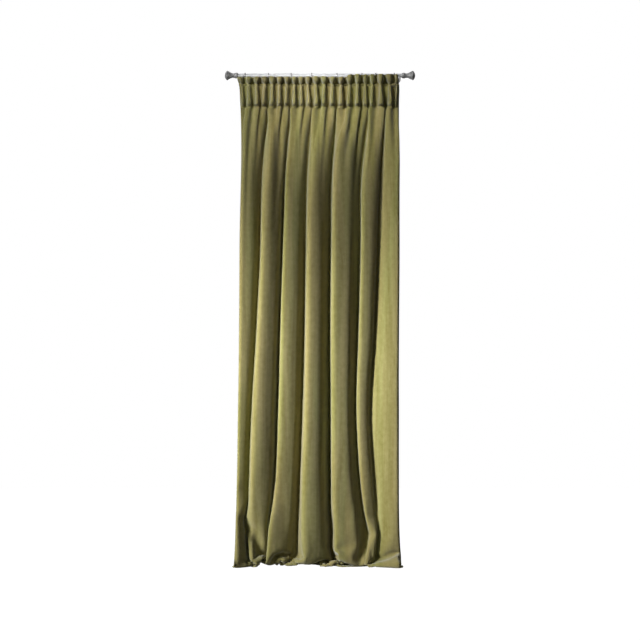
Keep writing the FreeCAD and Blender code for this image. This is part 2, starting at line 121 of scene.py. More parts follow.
def soft_noise(u, z, seed, scale_u, scale_z, waves=9):
    """Smooth unevenness, between about -1 and 1, the same on every run."""
    rolls = np.random.RandomState(seed)
    total = np.zeros(np.broadcast(u, z).shape)
    for _ in range(waves):
        a, b = rolls.uniform(0.4, 1.3, 2)
        phase = rolls.uniform(0, 2 * math.pi, 2)
        total += np.sin(2 * math.pi * u * scale_u * a + phase[0] + 1.7 * np.sin(
            2 * math.pi * z * scale_z * b + phase[1]))
    return total / waves * 1.6


def fold_flanks(across, lit, tucked):
    """The flank that comes forward, and the face that falls away and tucks in behind."""
    forward = (eased(-0.05, 0.05, across) + eased(0.95, 1.05, across)
               - eased(lit - 0.10, lit + 0.06, across))
    face = np.clip((across - lit) / (1 - lit - tucked), 0, 1)
    away = 0.10 + 0.46 * face**0.9 + 0.44 * eased(0.90 - tucked, 1.03 - tucked, across)
    return forward, (1 - forward) * away


def fold_turns(lit, tucked, steps=60):
    """How far both flanks turn for a fold to be narrowed to a given share of its cloth."""
    forward, away = fold_flanks((np.arange(160) + 0.5) / 160, lit, tucked)
    steep = np.linspace(0, 1.45, steps)
    low, high = np.zeros(steps), np.full(steps, 2.3)
    for _ in range(30):
        middle = (low + high) / 2
        lean = np.sin(steep[:, None] * forward - middle[:, None] * away).mean(axis=1)
        low, high = np.where(lean > 0, middle, low), np.where(lean > 0, high, middle)
    narrowed = np.cos(steep[:, None] * forward - low[:, None] * away).mean(axis=1)
    last = int(np.argmin(narrowed)) + 1
    return narrowed[:last][::-1], steep[:last][::-1], low[:last][::-1]


turns = [fold_turns(lit, tucked) for lit, tucked in zip(lit_flanks, tucked_flanks)]
fine_u = np.linspace(0, 1, 961)
pleat_phase = np.interp(fine_u, pleat_shares, np.arange(pleat_count + 1))
rolls = np.random.RandomState(7)


def each_pleat(low, high):
    """One random value for every pleat, blended between neighbours at the valleys."""
    chosen = rolls.uniform(low, high, pleat_count)
    return np.interp(pleat_phase, np.arange(pleat_count) + 0.5, chosen)


# How far down each pleat is gone, softened and let go by the tape, then its own shape.
pleat_end = each_pleat(0.45, 0.95)
pleat_settled = each_pleat(0.22, 0.60)
pleat_pulled = each_pleat(0.42, 0.72)
pleat_width = each_pleat(-0.22, 0.22)
pleat_depth = each_pleat(0.85, 1.15)
pleat_lean = each_pleat(-0.0062, 0.0062)
pleat_flare = each_pleat(-0.0025, 0.0035)
top_wave = each_pleat(-1, 1)
ridge = 0.5 - 0.5 * np.cos(2 * math.pi * pleat_phase)
pleat_turn = 1.445
drape_front, pleat_foot = -0.138, 0.16

# Down the heading: how wide the ridges are, and how deep the pleats stand.
width_heights = (0.0, -0.030, -0.045, -0.060, -0.100, -0.138, -0.155, -0.22, -0.40)
width_turns = (0.35, 0.0, -0.72, -0.62, -0.48, 0.10, 0.15, 0.50, 0.60)
depth_heights = (0.0, -0.036, -0.045, -0.055, -0.09, -0.125, -0.141, -0.150, -0.160, -0.21,
                 -0.30)
depth_shares = (1.20, 1.10, 0.80, 1.10, 1.25, 1.28, 1.15, 0.58, 0.56, 0.85, 1.0)


def hung_cloth(down):
    """Points of the cloth's middle surface at each of these lengths down from its top."""
    rows = []
    step, rounding = cloth_width / (len(fine_u) - 1), 9
    home = pleat_shares[[0, *hollow_pleats, pleat_count]]
    for length in down:
        z = -length
        left = curve_through(z, edge_heights, left_edge)
        right = curve_through(z, edge_heights, right_edge)
        inner = [curve_through(z, hollow_heights, (pleat_lines[pleat], *line), False)
                 for pleat, line in zip(hollow_pleats, hollow_lines)]
        joints = np.array([left, *inner, right])
        shares = (joints - left) / (right - left)
        shares[1:-1] += (pleat_shares[list(hollow_pleats)] - shares[1:-1]) * (
            1 - eased(0.14, 0.20, length))
        fade = 1 - eased(0.05, pleat_end, length)
        softened = 1 - 0.52 * eased(0.12, pleat_settled, length)
        ripple = np.where(
            length < pleat_foot, pleat_turn, pleat_turn * (fade * 0.94 + 0.06) * softened)
        turn = np.zeros(len(fine_u))
        for k, (lit, tucked) in enumerate(zip(lit_flanks, tucked_flanks)):
            inside = (fine_u >= shares[k]) & (fine_u <= shares[k + 1])
            across = (fine_u[inside] - shares[k]) / (shares[k + 1] - shares[k])
            gathered = np.mean(ripple[inside])
            bessel = 1 - gathered**2 / 4 + gathered**4 / 64 - gathered**6 / 2304
            room = (joints[k + 1] - joints[k]) / (
                (shares[k + 1] - shares[k]) * cloth_width * bessel)
            narrowed, steep, away = turns[k]
            room = np.clip(room, narrowed[0], 1)
            # The last fold lies the other way round, with its steep flank at the side hem.
            facing = -1 if k == len(hollow_pleats) else 1
            forward, back = fold_flanks(across if facing > 0 else 1 - across, lit, tucked)
            turn[inside] = facing * (np.interp(room, narrowed, steep) * forward
                                     - np.interp(room, narrowed, away) * back)
        kernel = np.hanning(2 * rounding + 1)
        turn = np.convolve(np.pad(turn, rounding, "edge"), kernel / kernel.sum(), "valid")
        wide = curve_through(z, width_heights, width_turns) + pleat_width * eased(-0.3, -0.1, z)
        beat = 2 * math.pi * np.interp(
            fine_u, np.interp(pleat_shares, home, shares), np.arange(pleat_count + 1))
        turn = turn + ripple * np.sin(beat + wide * np.sin(beat))
        x = np.concatenate([[0], np.cumsum(np.cos((turn[1:] + turn[:-1]) / 2))]) * step
        y = -np.concatenate([[0], np.cumsum(np.sin((turn[1:] + turn[:-1]) / 2))]) * step
        x += np.interp(fine_u, shares, joints - np.interp(shares, fine_u, x))
        y -= np.interp(fine_u, shares, np.interp(shares, fine_u, y))
        heading = 1 - eased(0.10, pleat_pulled, length)
        wanted = np.array([left, *pleat_lines[1:-1], right])
        at_lines = np.interp(pleat_shares, fine_u, x)
        x += heading * np.interp(fine_u, pleat_shares, wanted - at_lines)
        y -= heading * np.interp(fine_u, pleat_shares, np.interp(pleat_shares, fine_u, y))
        depth = np.array([
            -y[(fine_u >= a) & (fine_u <= b)].min() for a, b in zip(shares, shares[1:])])
        back = np.concatenate([[depth[0]], (depth[1:] + depth[:-1]) / 2, [depth[-1]]])
        drape = drape_front + np.interp(fine_u, shares, back) * 0.5
        tight = eased(-0.42, -0.15, z)
        y = y * curve_through(z, depth_heights, depth_shares) * (
            1 + tight * (pleat_depth - 1)) + heading * sewn_back + (1 - heading) * drape
        x = x + pleat_lean * ridge * eased(-0.05, -0.13, z) * eased(-0.34, -0.15, z)
        x = x + pleat_flare * ridge * eased(-0.04, 0, z)
        rows.append(np.stack([x, y, np.full(len(fine_u), z)], axis=1))
    return np.array(rows)


# How far the header leans out, the stitching lifts the pleats, and the top edge dips.
header_lean, seam_pucker, end_pucker = 0.0150, 0.0085, 0.0055
top_dip, corner_dip, top_ripple = 0.0105, 0.0075, 0.0012
bridge_depth, crease_depth = 0.0150, 0.007


def finish_shape(points, down):
    """Adds what the stitching does to the pleats, and the cloth's unevenness."""
    u, z = fine_u[None, :], -np.array(down)[:, None]
    x, y = points[..., 0], points[..., 1]
    header = eased(upper_seam, 0.004, z)
    valley = (1 - ridge)[None, :]
    puckered = np.exp(-((z - upper_seam) / 0.0048) ** 2)
    ended = eased(-0.075, -0.132, z) * eased(-0.152, -0.143, z)
    y = y - header_lean * header - seam_pucker * puckered * valley**2
    y = y - end_pucker * ended * ridge**1.5 * pleat_depth
    right_third = eased(0.655, 0.70, u)
    corner = eased(0.982, 1.0, u)
    top = -top_dip + top_dip * right_third - corner_dip * corner + top_ripple * top_wave
    height = z + top * eased(-0.045, 0, z)
    loose = eased(0.20, 0.8, -z)
    y = y + 0.0020 * loose * soft_noise(u, z, 3, 4.0, 0.35)
    x = x + 0.0018 * loose * soft_noise(u, z, 5, 3.0, 0.30)
    y = y + 0.0005 * soft_noise(u, z, 8, 21.0, 5.0) * eased(-0.30, -0.10, z)
    last_hollow = np.exp(-((u - pleat_shares[-2]) / 0.016) ** 2)
    bridged = eased(-0.060, -0.050, z) * last_hollow
    crease = np.exp(-((z + 0.041) / 0.0030) ** 2) * eased(0.945, 0.975, u)
    y = y - bridge_depth * bridged + crease_depth * crease
    return np.stack([x, y, np.broadcast_to(height, x.shape)], axis=2)


heading_down = np.concatenate([
    np.linspace(0, 0.034, 8), np.linspace(0.037, 0.053, 8), np.linspace(0.059, 0.136, 10),
    np.linspace(0.140, 0.172, 12)])
foot_top, foot_rows, fall_frames = 1.90, 41, 70
drape_down = np.concatenate([
    np.linspace(0.172, foot_top, 62), np.linspace(foot_top, cloth_length, 61)[1:]])
heading_grid = finish_shape(hung_cloth(heading_down), heading_down)[:, ::2]
drape_grid = finish_shape(hung_cloth(drape_down), drape_down)[:, ::4]


def resampled(values, old, new):
    """Reads evenly spaced rows of points at new places, with smooth curves between."""
    spot = (np.clip(new, old[0], old[-1]) - old[0]) / (old[1] - old[0])
    at = np.clip(spot.astype(int), 0, len(old) - 2)
    share = (spot - at).reshape(-1, *[1] * (values.ndim - 1))
    rows = [values[np.clip(at + k, 0, len(old) - 1)] for k in (-1, 0, 1, 2)]
    before, first, last, after = rows
    return first + 0.5 * share * (last - before + share * (
        2 * before - 5 * first + 4 * last - after + share * (
            3 * (first - last) + after - before)))


def crumpled_foot(start_grid, frames):
    """Lets the cloth's foot down on the floor and returns how far each point moved."""
    rows, columns = start_grid.shape[:2]
    mesh = bpy.data.meshes.new("falling_foot")
    index = np.arange(rows * columns).reshape(rows, columns)
    faces = np.stack([index[:-1, :-1], index[1:, :-1], index[1:, 1:], index[:-1, 1:]], 2)
    mesh.from_pydata(start_grid.reshape(-1, 3).tolist(), [], faces.reshape(-1, 4).tolist())
    foot = bpy.data.objects.new("falling_foot", mesh)
    bpy.context.collection.objects.link(foot)
    held = foot.vertex_groups.new(name="held")
    held.add(index[:3].ravel().tolist(), 1.0, "REPLACE")
    cloth = foot.modifiers.new("cloth", "CLOTH")
    cloth.settings.quality = 7
    cloth.settings.mass = 0.35
    cloth.settings.tension_stiffness = cloth.settings.compression_stiffness = 60
    cloth.settings.shear_stiffness = 12
    cloth.settings.bending_stiffness = 18
    cloth.settings.bending_damping = 4
    cloth.settings.air_damping = 3
    cloth.settings.vertex_group_mass = "held"
    cloth.collision_settings.distance_min = 0.003
    cloth.collision_settings.use_self_collision = True
    cloth.collision_settings.self_distance_min = 0.004
    cloth.collision_settings.self_friction = 10
    cloth.point_cache.frame_start, cloth.point_cache.frame_end = 1, frames
    board = bpy.data.meshes.new("rising_board")
    board.from_pydata([(-1, -1, 0), (1, -1, 0), (1, 1, 0), (-1, 1, 0)], [], [(0, 1, 2, 3)])
    lift = bpy.data.objects.new("rising_board", board)
    bpy.context.collection.objects.link(lift)
    lift.modifiers.new("collision", "COLLISION")
    lift.collision.thickness_outer = 0.001
    lift.collision.cloth_friction = 20
    lift.location.z = start_grid[..., 2].min() - 0.01
    lift.keyframe_insert("location", frame=1)
    lift.location.z = floor_z
    lift.keyframe_insert("location", frame=frames * 0.6)
    upright = bpy.data.meshes.new("wall_behind")
    upright.from_pydata([(-1, -0.006, -3), (1, -0.006, -3), (1, -0.006, -1.5),
                         (-1, -0.006, -1.5)], [], [(0, 1, 2, 3)])
    wall = bpy.data.objects.new("wall_behind", upright)
    bpy.context.collection.objects.link(wall)
    wall.modifiers.new("collision", "COLLISION")
    wall.collision.thickness_outer = 0.001
    for frame_number in range(1, frames + 1):
        bpy.context.scene.frame_set(frame_number)
    fallen = foot.evaluated_get(bpy.context.evaluated_depsgraph_get()).data
    ended = np.empty(rows * columns * 3)
    fallen.vertices.foreach_get("co", ended)
    for thing in (foot, lift, wall):
        bpy.data.objects.remove(thing)
    bpy.context.scene.frame_set(1)
    return ended.reshape(rows, columns, 3) - start_grid


foot_down = np.linspace(foot_top, cloth_length, foot_rows)
foot_start = finish_shape(hung_cloth(foot_down), foot_down)[:, ::10]
moved = crumpled_foot(foot_start, fall_frames)
calm = moved
for _ in range(3):
    edged = np.pad(calm, ((1, 1), (1, 1), (0, 0)), "edge")
    calm = (edged[:-2, 1:-1] + edged[2:, 1:-1] + edged[1:-1, :-2] + edged[1:-1, 2:]
            + 2 * calm) / 6
kept = eased(2.20, 2.36, foot_down)[:, None, None]
moved = calm + kept * (moved - calm)
sides = eased(0.10, 0.0, fine_u[::10]) + eased(0.90, 1.0, fine_u[::10])
moved[..., 0] *= 1 - 0.85 * sides
below = drape_down >= foot_top
moved = resampled(moved, foot_down, drape_down[below])
moved = resampled(moved.transpose(1, 0, 2), fine_u[::10], fine_u[::4])
drape_grid[below] += moved.transpose(1, 0, 2)

# The lowest creases are pressed flat on the floor, and none juts far into the room.
floor_gap, pressed = 0.0012, 0.010
height = drape_grid[..., 2] - floor_z - floor_gap
drape_grid[..., 2] += np.where(
    height < pressed, pressed * np.exp((height - pressed) / pressed) - height, 0)
front_limit, front_give = -0.245, 0.014
beyond = np.maximum(front_limit - drape_grid[..., 1], 0)
drape_grid[..., 1] += beyond - front_give * (1 - np.exp(-beyond / front_give))


def cloth_piece(name, grids, cloth_front, cloth_back, thickness, hem=None):
    """A closed sheet: its middle surface thickened, with wider rows joined to finer ones."""
    points, rows_of, start = [], [], 0
    for grid, down, across in grids:
        for row, length in zip(grid, down):
            rows_of.append((start + np.arange(len(row)), length, across))
            points.append(row)
            start += len(row)
    middle = np.concatenate(points)
    place = np.concatenate([
        np.stack([across * cloth_width, np.full(len(across), -length)], axis=1)
        for _, length, across in rows_of])
    faces = []
    for (upper, _, _), (lower, _, _) in zip(rows_of, rows_of[1:]):
        if len(upper) == len(lower):
            faces += np.stack(
                [upper[:-1], lower[:-1], lower[1:], upper[1:]], axis=1).tolist()
        else:
            faces += np.stack([upper[:-2:2], lower[:-1], lower[1:], upper[2::2],
                               upper[1:-1:2]], axis=1).tolist()
    sheet = bpy.data.meshes.new(name)
    sheet.from_pydata(middle.tolist(), [], faces)
    normal = np.empty(len(middle) * 3)
    sheet.vertex_normals.foreach_get("vector", normal)
    normal = normal.reshape(-1, 3)
    extra = np.zeros(len(middle)) if hem is None else hem(place[:, 0], place[:, 1])
    front = middle + normal * thickness / 2
    back = middle - normal * (thickness / 2 + extra)[:, None]
    count = len(middle)
    top, bottom = rows_of[0][0], rows_of[-1][0]
    left = np.array([row[0][0] for row in rows_of])
    right = np.array([row[0][-1] for row in rows_of])
    rim = np.concatenate([top[::-1], left[1:], bottom[1:], right[::-1][1:]])
    walls = np.stack([rim[:-1], rim[:-1] + count, rim[1:] + count, rim[1:]], axis=1)
    closed = faces + [[v + count for v in face[::-1]] for face in faces] + walls.tolist()
    sheet.clear_geometry()
    sheet.from_pydata(np.concatenate([front, back]).tolist(), [], closed)
    sheet.materials.append(cloth_front)
    sheet.materials.append(cloth_back)
    backs = np.zeros(len(closed), int)
    plain = np.array([extra[face].min() < thickness / 3 for face in faces])
    backs[len(faces):2 * len(faces)] = plain
    sheet.polygons.foreach_set("material_index", backs)
    sheet.polygons.foreach_set("use_smooth", [True] * len(closed))
    corners = np.empty(len(sheet.loops), int)
    sheet.loops.foreach_get("vertex_index", corners)
    along = sheet.uv_layers.new(name="cloth")
    along.data.foreach_set("uv", place[corners % count].ravel())
    piece = bpy.data.objects.new(name, sheet)
    bpy.context.collection.objects.link(piece)
    return piece


# How far in from the cloth's edge each turned-in hem is still whole, and where it has ended.
side_hem, foot_hem, top_hem = (0.024, 0.0255), (0.079, 0.088), (0.043, 0.0445)


def hem_folds(across, along):
    """How much thicker the turned-in edges make the cloth."""
    side = 1 - eased(*side_hem, np.minimum(across, cloth_width - across))
    foot = 1 - eased(*foot_hem, cloth_length + along)
    top = 1 - eased(*top_hem, -along)
    return hem_turn * np.maximum(np.maximum(side, foot), top)


def shader(name):
    """A new material, its node tree and its main shader."""
    material = bpy.data.materials.new(name)
    material.use_nodes = True
    tree = material.node_tree
    surface = tree.nodes["Principled BSDF"]
    return material, tree, surface


def node(tree, kind, inputs=None, **settings):
    """Adds a node, sets it and feeds it: an input is a number or another node's socket."""
    made = tree.nodes.new(kind)
    for setting, chosen in settings.items():
        setattr(made, setting, chosen)
    for socket, fed in (inputs or {}).items():
        if isinstance(fed, bpy.types.NodeSocket):
            tree.links.new(fed, made.inputs[socket])
        else:
            made.inputs[socket].default_value = fed
    return made


def new_group(name, takes, gives):
    """A shader node group with named inputs and outputs."""
    group = bpy.data.node_groups.new(name, "ShaderNodeTree")
    for label, kind, start in takes:
        socket = group.interface.new_socket(label, in_out="INPUT", socket_type=kind)
        if start is not None:
            socket.default_value = start
    for label, kind in gives:
        group.interface.new_socket(label, in_out="OUTPUT", socket_type=kind)
    return group, group.nodes.new("NodeGroupInput"), group.nodes.new("NodeGroupOutput")


# The pile lies a little this way and that, in soft upright streaks and in patches.
pile_group, pile_in, pile_out = new_group(
    "pile_and_nap",
    [("Place", "NodeSocketVector", None), ("Streak", "NodeSocketFloat", 5.0),
     ("Grain", "NodeSocketFloat", 900.0)],
    [("Nap", "NodeSocketFloat"), ("Pile", "NodeSocketFloat"),
     ("Brushed", "NodeSocketFloat")])
stretched = node(pile_group, "ShaderNodeMapping", {
    "Vector": pile_in.outputs["Place"], "Scale": (5.0, 0.35, 1.0)})
streaks = node(pile_group, "ShaderNodeTexNoise", {
    "Vector": stretched.outputs[0], "Scale": pile_in.outputs["Streak"],
    "Detail": 5.0, "Roughness": 0.62, "Distortion": 0.6})
blotches = node(pile_group, "ShaderNodeTexNoise", {
    "Vector": pile_in.outputs["Place"], "Scale": 42.0, "Detail": 4.0, "Roughness": 0.62})
both = node(pile_group, "ShaderNodeMath", {
    0: blotches.outputs[0], 1: 0.45, 2: streaks.outputs[0]}, operation="MULTIPLY_ADD")
nap = node(pile_group, "ShaderNodeMapRange", {
    "Value": both.outputs[0], "From Min": 0.52, "From Max": 0.93})
tufts = node(pile_group, "ShaderNodeTexNoise", {
    "Vector": pile_in.outputs["Place"], "Scale": pile_in.outputs["Grain"],
    "Detail": 2.0, "Roughness": 0.7})
broad = node(pile_group, "ShaderNodeMapping", {
    "Vector": pile_in.outputs["Place"], "Scale": (9.0, 0.8, 1.0)})
swept = node(pile_group, "ShaderNodeTexNoise", {
    "Vector": broad.outputs[0], "Scale": 1.0, "Detail": 3.0, "Distortion": 0.8})
brushed = node(pile_group, "ShaderNodeMapRange", {
    "Value": swept.outputs[0], "From Min": 0.38, "From Max": 0.62})
pile_group.links.new(brushed.outputs[0], pile_out.inputs["Brushed"])
pile_group.links.new(nap.outputs[0], pile_out.inputs["Nap"])
pile_group.links.new(tufts.outputs[0], pile_out.inputs["Pile"])


def velvet(name, deep, light, brown, sheen, sheen_tint, roughness, bump):
    """Cut-pile velvet: a deep ground whose pile catches light at the folds' edges."""
    material, tree, surface = shader(name)
    place = node(tree, "ShaderNodeUVMap", uv_map="cloth")
    pile = node(tree, "ShaderNodeGroup", {"Place": place.outputs[0]}, node_tree=pile_group)
    colour = node(tree, "ShaderNodeMix", {
        "Factor": pile.outputs["Nap"], "A": deep, "B": light}, data_type="RGBA")
    warmer = node(tree, "ShaderNodeMix", {
        "Factor": pile.outputs["Brushed"], "A": colour.outputs["Result"], "B": brown},
        data_type="RGBA", blend_type="MULTIPLY")
    relief = node(tree, "ShaderNodeBump", {
        "Height": pile.outputs["Pile"], "Strength": bump, "Distance": 0.0006})
    tree.links.new(warmer.outputs["Result"], surface.inputs["Base Color"])
    tree.links.new(relief.outputs[0], surface.inputs["Normal"])
    surface.inputs["Roughness"].default_value = roughness
    surface.inputs["Specular IOR Level"].default_value = 0.05
    surface.inputs["Sheen Weight"].default_value = sheen
    surface.inputs["Sheen Roughness"].default_value = 0.60
    surface.inputs["Sheen Tint"].default_value = sheen_tint
    return material


velvet_face = velvet("velvet_pile", (0.138, 0.127, 0.026, 1), (0.232, 0.219, 0.076, 1),
                     (1.0, 0.89, 0.98, 1), 0.34, (0.90, 0.95, 0.95, 1), 0.85, 0.4)
velvet_reverse = velvet("velvet_reverse", (0.170, 0.155, 0.055, 1), (0.200, 0.184, 0.076, 1),
                        (1.0, 0.97, 0.98, 1), 0.05, (0.8, 0.8, 0.7, 1), 0.95, 0.3)

panel = cloth_piece(
    "velvet_curtain",
    [(heading_grid, heading_down, fine_u[::2]),
     (drape_grid[1:], drape_down[1:], fine_u[::4])],
    velvet_face, velvet_reverse, cloth_thickness, hem_folds)


def gathers_along(piece):
    """Hangs the piece on the rod set's body and gives it its own copy of its mesh."""
    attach(piece, "rod_set")
    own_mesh(piece)


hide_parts("velvet_panel")
gathers_along(panel)

# ---- Heading tape -----------------------------------------------------------
# A woven polyester tape, 1.40 m long and 105 mm wide, sewn flat to the cloth's
# back before it is gathered, so it follows every pleat.  A row of woven pockets
# across its middle takes the hooks' prongs.

weave_group, weave_in, weave_out = new_group(
    "plain_weave",
    [("Place", "NodeSocketVector", None), ("Threads", "NodeSocketFloat", 1100.0)],
    [("Crossing", "NodeSocketFloat"), ("Soil", "NodeSocketFloat")])
warp = node(weave_group, "ShaderNodeTexWave", {
    "Vector": weave_in.outputs["Place"], "Scale": weave_in.outputs["Threads"],
    "Distortion": 0.6}, bands_direction="X")
weft = node(weave_group, "ShaderNodeTexWave", {
    "Vector": weave_in.outputs["Place"], "Scale": weave_in.outputs["Threads"],
    "Distortion": 0.6}, bands_direction="Y")
crossing = node(weave_group, "ShaderNodeMath", {
    0: warp.outputs["Fac"], 1: weft.outputs["Fac"]}, operation="MAXIMUM")
soil = node(weave_group, "ShaderNodeTexNoise", {
    "Vector": weave_in.outputs["Place"], "Scale": 28.0, "Detail": 4.0})
weave_group.links.new(crossing.outputs[0], weave_out.inputs["Crossing"])
weave_group.links.new(soil.outputs[0], weave_out.inputs["Soil"])


def woven(name, dark, pale, threads, layout="cloth", relief=0.5):
    """Plain-woven thread or tape, read from the piece's own layout in metres."""
    material, tree, surface = shader(name)
    place = node(tree, "ShaderNodeUVMap", uv_map=layout)
    weave = node(tree, "ShaderNodeGroup", {
        "Place": place.outputs[0], "Threads": threads}, node_tree=weave_group)
    mixed = node(tree, "ShaderNodeMath", {
        0: weave.outputs["Crossing"], 1: weave.outputs["Soil"]}, operation="MULTIPLY")
    colour = node(tree, "ShaderNodeMix", {
        "Factor": mixed.outputs[0], "A": dark, "B": pale}, data_type="RGBA")
    bump = node(tree, "ShaderNodeBump", {
        "Height": weave.outputs["Crossing"], "Strength": relief, "Distance": 0.0003})
    tree.links.new(colour.outputs["Result"], surface.inputs["Base Color"])
    tree.links.new(bump.outputs[0], surface.inputs["Normal"])
    surface.inputs["Roughness"].default_value = 0.8
    surface.inputs["Sheen Weight"].default_value = 0.15
    return material


def surface_normals(grid):
    """The direction out of the cloth's back at each point of a grid of its points."""
    facing = np.cross(np.gradient(grid, axis=1), np.gradient(grid, axis=0))
    return facing / np.linalg.norm(facing, axis=2, keepdims=True)


# The gathering cords run just behind this plane, so the tape's valleys stop at it.
cord_plane = -0.1242
tape_top, tape_width, tape_thickness = 0.0455, 0.105, 0.0008
thread_gap = 0.0001
tape_weave = woven("tape_weave", (0.52, 0.50, 0.43, 1), (0.80, 0.78, 0.71, 1), 160.0)
tape_down = np.linspace(tape_top, tape_top + tape_width, 24)
tape_grid = finish_shape(hung_cloth(tape_down), tape_down)[:, ::2]
tape_gap = cloth_thickness / 2 + tape_thickness / 2 + thread_gap
tape_grid = tape_grid + surface_normals(tape_grid) * tape_gap
tape_grid[..., 1] = np.minimum(tape_grid[..., 1], cord_plane - tape_thickness / 2)
tape = cloth_piece("pleated_tape", [(tape_grid, tape_down, fine_u[::2])],
                   tape_weave, tape_weave, tape_thickness)
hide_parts("heading_tape")
gathers_along(tape)


def pocket_loops(places, low, high, width, out):
    """Short woven bands that stand off the tape at its back valleys."""
    seat, band = cord_plane + 0.00005, 0.0005
    across = np.linspace(-1, 1, 13)
    stand = out * (1 - np.abs(across) ** 3.0)
    points, faces, layout = [], [], []
    for x in places:
        first = len(points)
        for z in (low, high):
            for side, rise in zip(across, stand):
                points += [(x + side * width / 2, seat + rise, z),
                           (x + side * width / 2 * 0.94, seat + rise - band, z)]
                layout += [(side * width / 2 + x, z), (side * width / 2 + x, z + band)]
        row = 2 * len(across)
        for k in range(len(across) - 1):
            a, b, c, d = first + 2 * k, first + 2 * k + 2, first + row + 2 * k + 2, (
                first + row + 2 * k)
            faces += [(a, d, c, b), (a + 1, b + 1, c + 1, d + 1),
                      (a, b, b + 1, a + 1), (d, d + 1, c + 1, c)]
        end = first + row - 2
        faces += [(first, first + 1, first + row + 1, first + row),
                  (end, end + row, end + row + 1, end + 1)]
    mesh = bpy.data.meshes.new("pocket_loops")
    mesh.from_pydata(points, [], faces)
    mesh.polygons.foreach_set("use_smooth", [True] * len(faces))
    mesh.materials.append(tape_weave)
    cloth_layout = mesh.uv_layers.new(name="cloth")
    for loop in mesh.loops:
        cloth_layout.data[loop.index].uv = layout[loop.vertex_index]
    piece = bpy.data.objects.new("pocket_loops", mesh)
    bpy.context.collection.objects.link(piece)
    return piece


pocket_low, pocket_high, pocket_width, pocket_depth = -0.072, -0.062, 0.009, 0.0036
loops = pocket_loops(pleat_lines[1:-1], pocket_low, pocket_high, pocket_width, pocket_depth)
gathers_along(loops)

# ---- Gathering cords --------------------------------------------------------
# Three thin braided cords run through the tape.  They are pulled until the
# cloth is as wide as the rod needs, and knotted at both ends.

cord_yarn = woven("cord_yarn", (0.62, 0.61, 0.56, 1), (0.90, 0.89, 0.85, 1), 260.0, relief=0.8)


def braided_cord(name, node_name):
    """A cord with three strands turning round it and a knot near each end."""
    low, high = (np.array(corner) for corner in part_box(node_name))
    y, z = (low[1] + high[1]) / 2, (low[2] + high[2]) / 2
    sides, strands, lay, cord_radius = 12, 3, 0.0075, 0.00074
    knot_place, knot_length, knot_size = 0.004, 0.0015, 0.0007
    along = np.arange(low[0] + 0.0005, high[0], 0.0012)
    around = np.linspace(0, 2 * math.pi, sides + 1)[:-1]
    twist = 2 * math.pi * along / lay
    radius = cord_radius * (1 + 0.10 * np.cos(strands * (around[None, :] - twist[:, None])))
    for end, inward in ((low[0], 1), (high[0], -1)):
        from_knot = (along - (end + inward * knot_place)) / knot_length
        radius = radius + knot_size * np.exp(-from_knot**2)[:, None]
    points = np.stack([
        np.repeat(along[:, None], sides, axis=1), y + radius * np.cos(around)[None, :],
        z + radius * np.sin(around)[None, :]], axis=2)
    index = np.arange(len(along) * sides).reshape(-1, sides)
    turned = np.roll(index, -1, axis=1)
    walls = np.stack([index[:-1], turned[:-1], turned[1:], index[1:]], 2).reshape(-1, 4)
    faces = walls.tolist() + [index[0][::-1].tolist(), index[-1].tolist()]
    mesh = bpy.data.meshes.new(name)
    mesh.from_pydata(points.reshape(-1, 3).tolist(), [], faces)
    mesh.polygons.foreach_set("use_smooth", [True] * len(walls) + [False] * 2)
    mesh.materials.append(cord_yarn)
    layout = mesh.uv_layers.new(name="cloth")
    for loop in mesh.loops:
        ring, side = divmod(loop.vertex_index, sides)
        layout.data[loop.index].uv = (along[ring], 0.0004 * side)
    piece = bpy.data.objects.new(name, mesh)
    bpy.context.collection.objects.link(piece)
    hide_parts(node_name)
    gathers_along(piece)


for level in ("top", "middle", "bottom"):
    braided_cord(f"{level}_braided_cord", f"{level}_gathering_cord")

# ---- Stitching --------------------------------------------------------------
# Olive thread holds the tape along both its edges, through to the face, and the
# turned-in side and bottom hems on the back.


def stitch_tree(thread):
    """Geometry nodes that lay stitches end to end along a piece's edges."""
    tree = bpy.data.node_groups.new("stitches_along_edges", "GeometryNodeTree")
    sockets = {}
    tree.interface.new_socket("Geometry", in_out="INPUT", socket_type="NodeSocketGeometry")
    for label, start in (("Spacing", 0.0042), ("Stitch", 0.0030), ("Thread", 0.0003)):
        made = tree.interface.new_socket(label, in_out="INPUT", socket_type="NodeSocketFloat")
        made.default_value = start
        sockets[label] = made.identifier
    tree.interface.new_socket("Geometry", in_out="OUTPUT", socket_type="NodeSocketGeometry")
    given, result = tree.nodes.new("NodeGroupInput"), tree.nodes.new("NodeGroupOutput")
    path = node(tree, "GeometryNodeMeshToCurve", {"Mesh": given.outputs["Geometry"]})
    spots = node(tree, "GeometryNodeResampleCurve", {
        "Curve": path.outputs[0], "Length": given.outputs["Spacing"]}, mode="LENGTH")
    tangent = node(tree, "GeometryNodeInputTangent")
    turn = node(tree, "FunctionNodeAlignRotationToVector", {
        "Vector": tangent.outputs[0]}, axis="Z")
    bead = node(tree, "GeometryNodeMeshUVSphere", {"Segments": 6, "Rings": 4, "Radius": 0.5})
    size = node(tree, "ShaderNodeCombineXYZ", {
        "X": given.outputs["Thread"], "Y": given.outputs["Thread"],
        "Z": given.outputs["Stitch"]})
    laid = node(tree, "GeometryNodeInstanceOnPoints", {
        "Points": spots.outputs[0], "Instance": bead.outputs["Mesh"],
        "Rotation": turn.outputs[0], "Scale": size.outputs[0]})
    real = node(tree, "GeometryNodeRealizeInstances", {"Geometry": laid.outputs[0]})
    coloured = node(tree, "GeometryNodeSetMaterial", {"Geometry": real.outputs[0]})
    coloured.inputs["Material"].default_value = thread
    tree.links.new(coloured.outputs[0], result.inputs[0])
    return tree, sockets


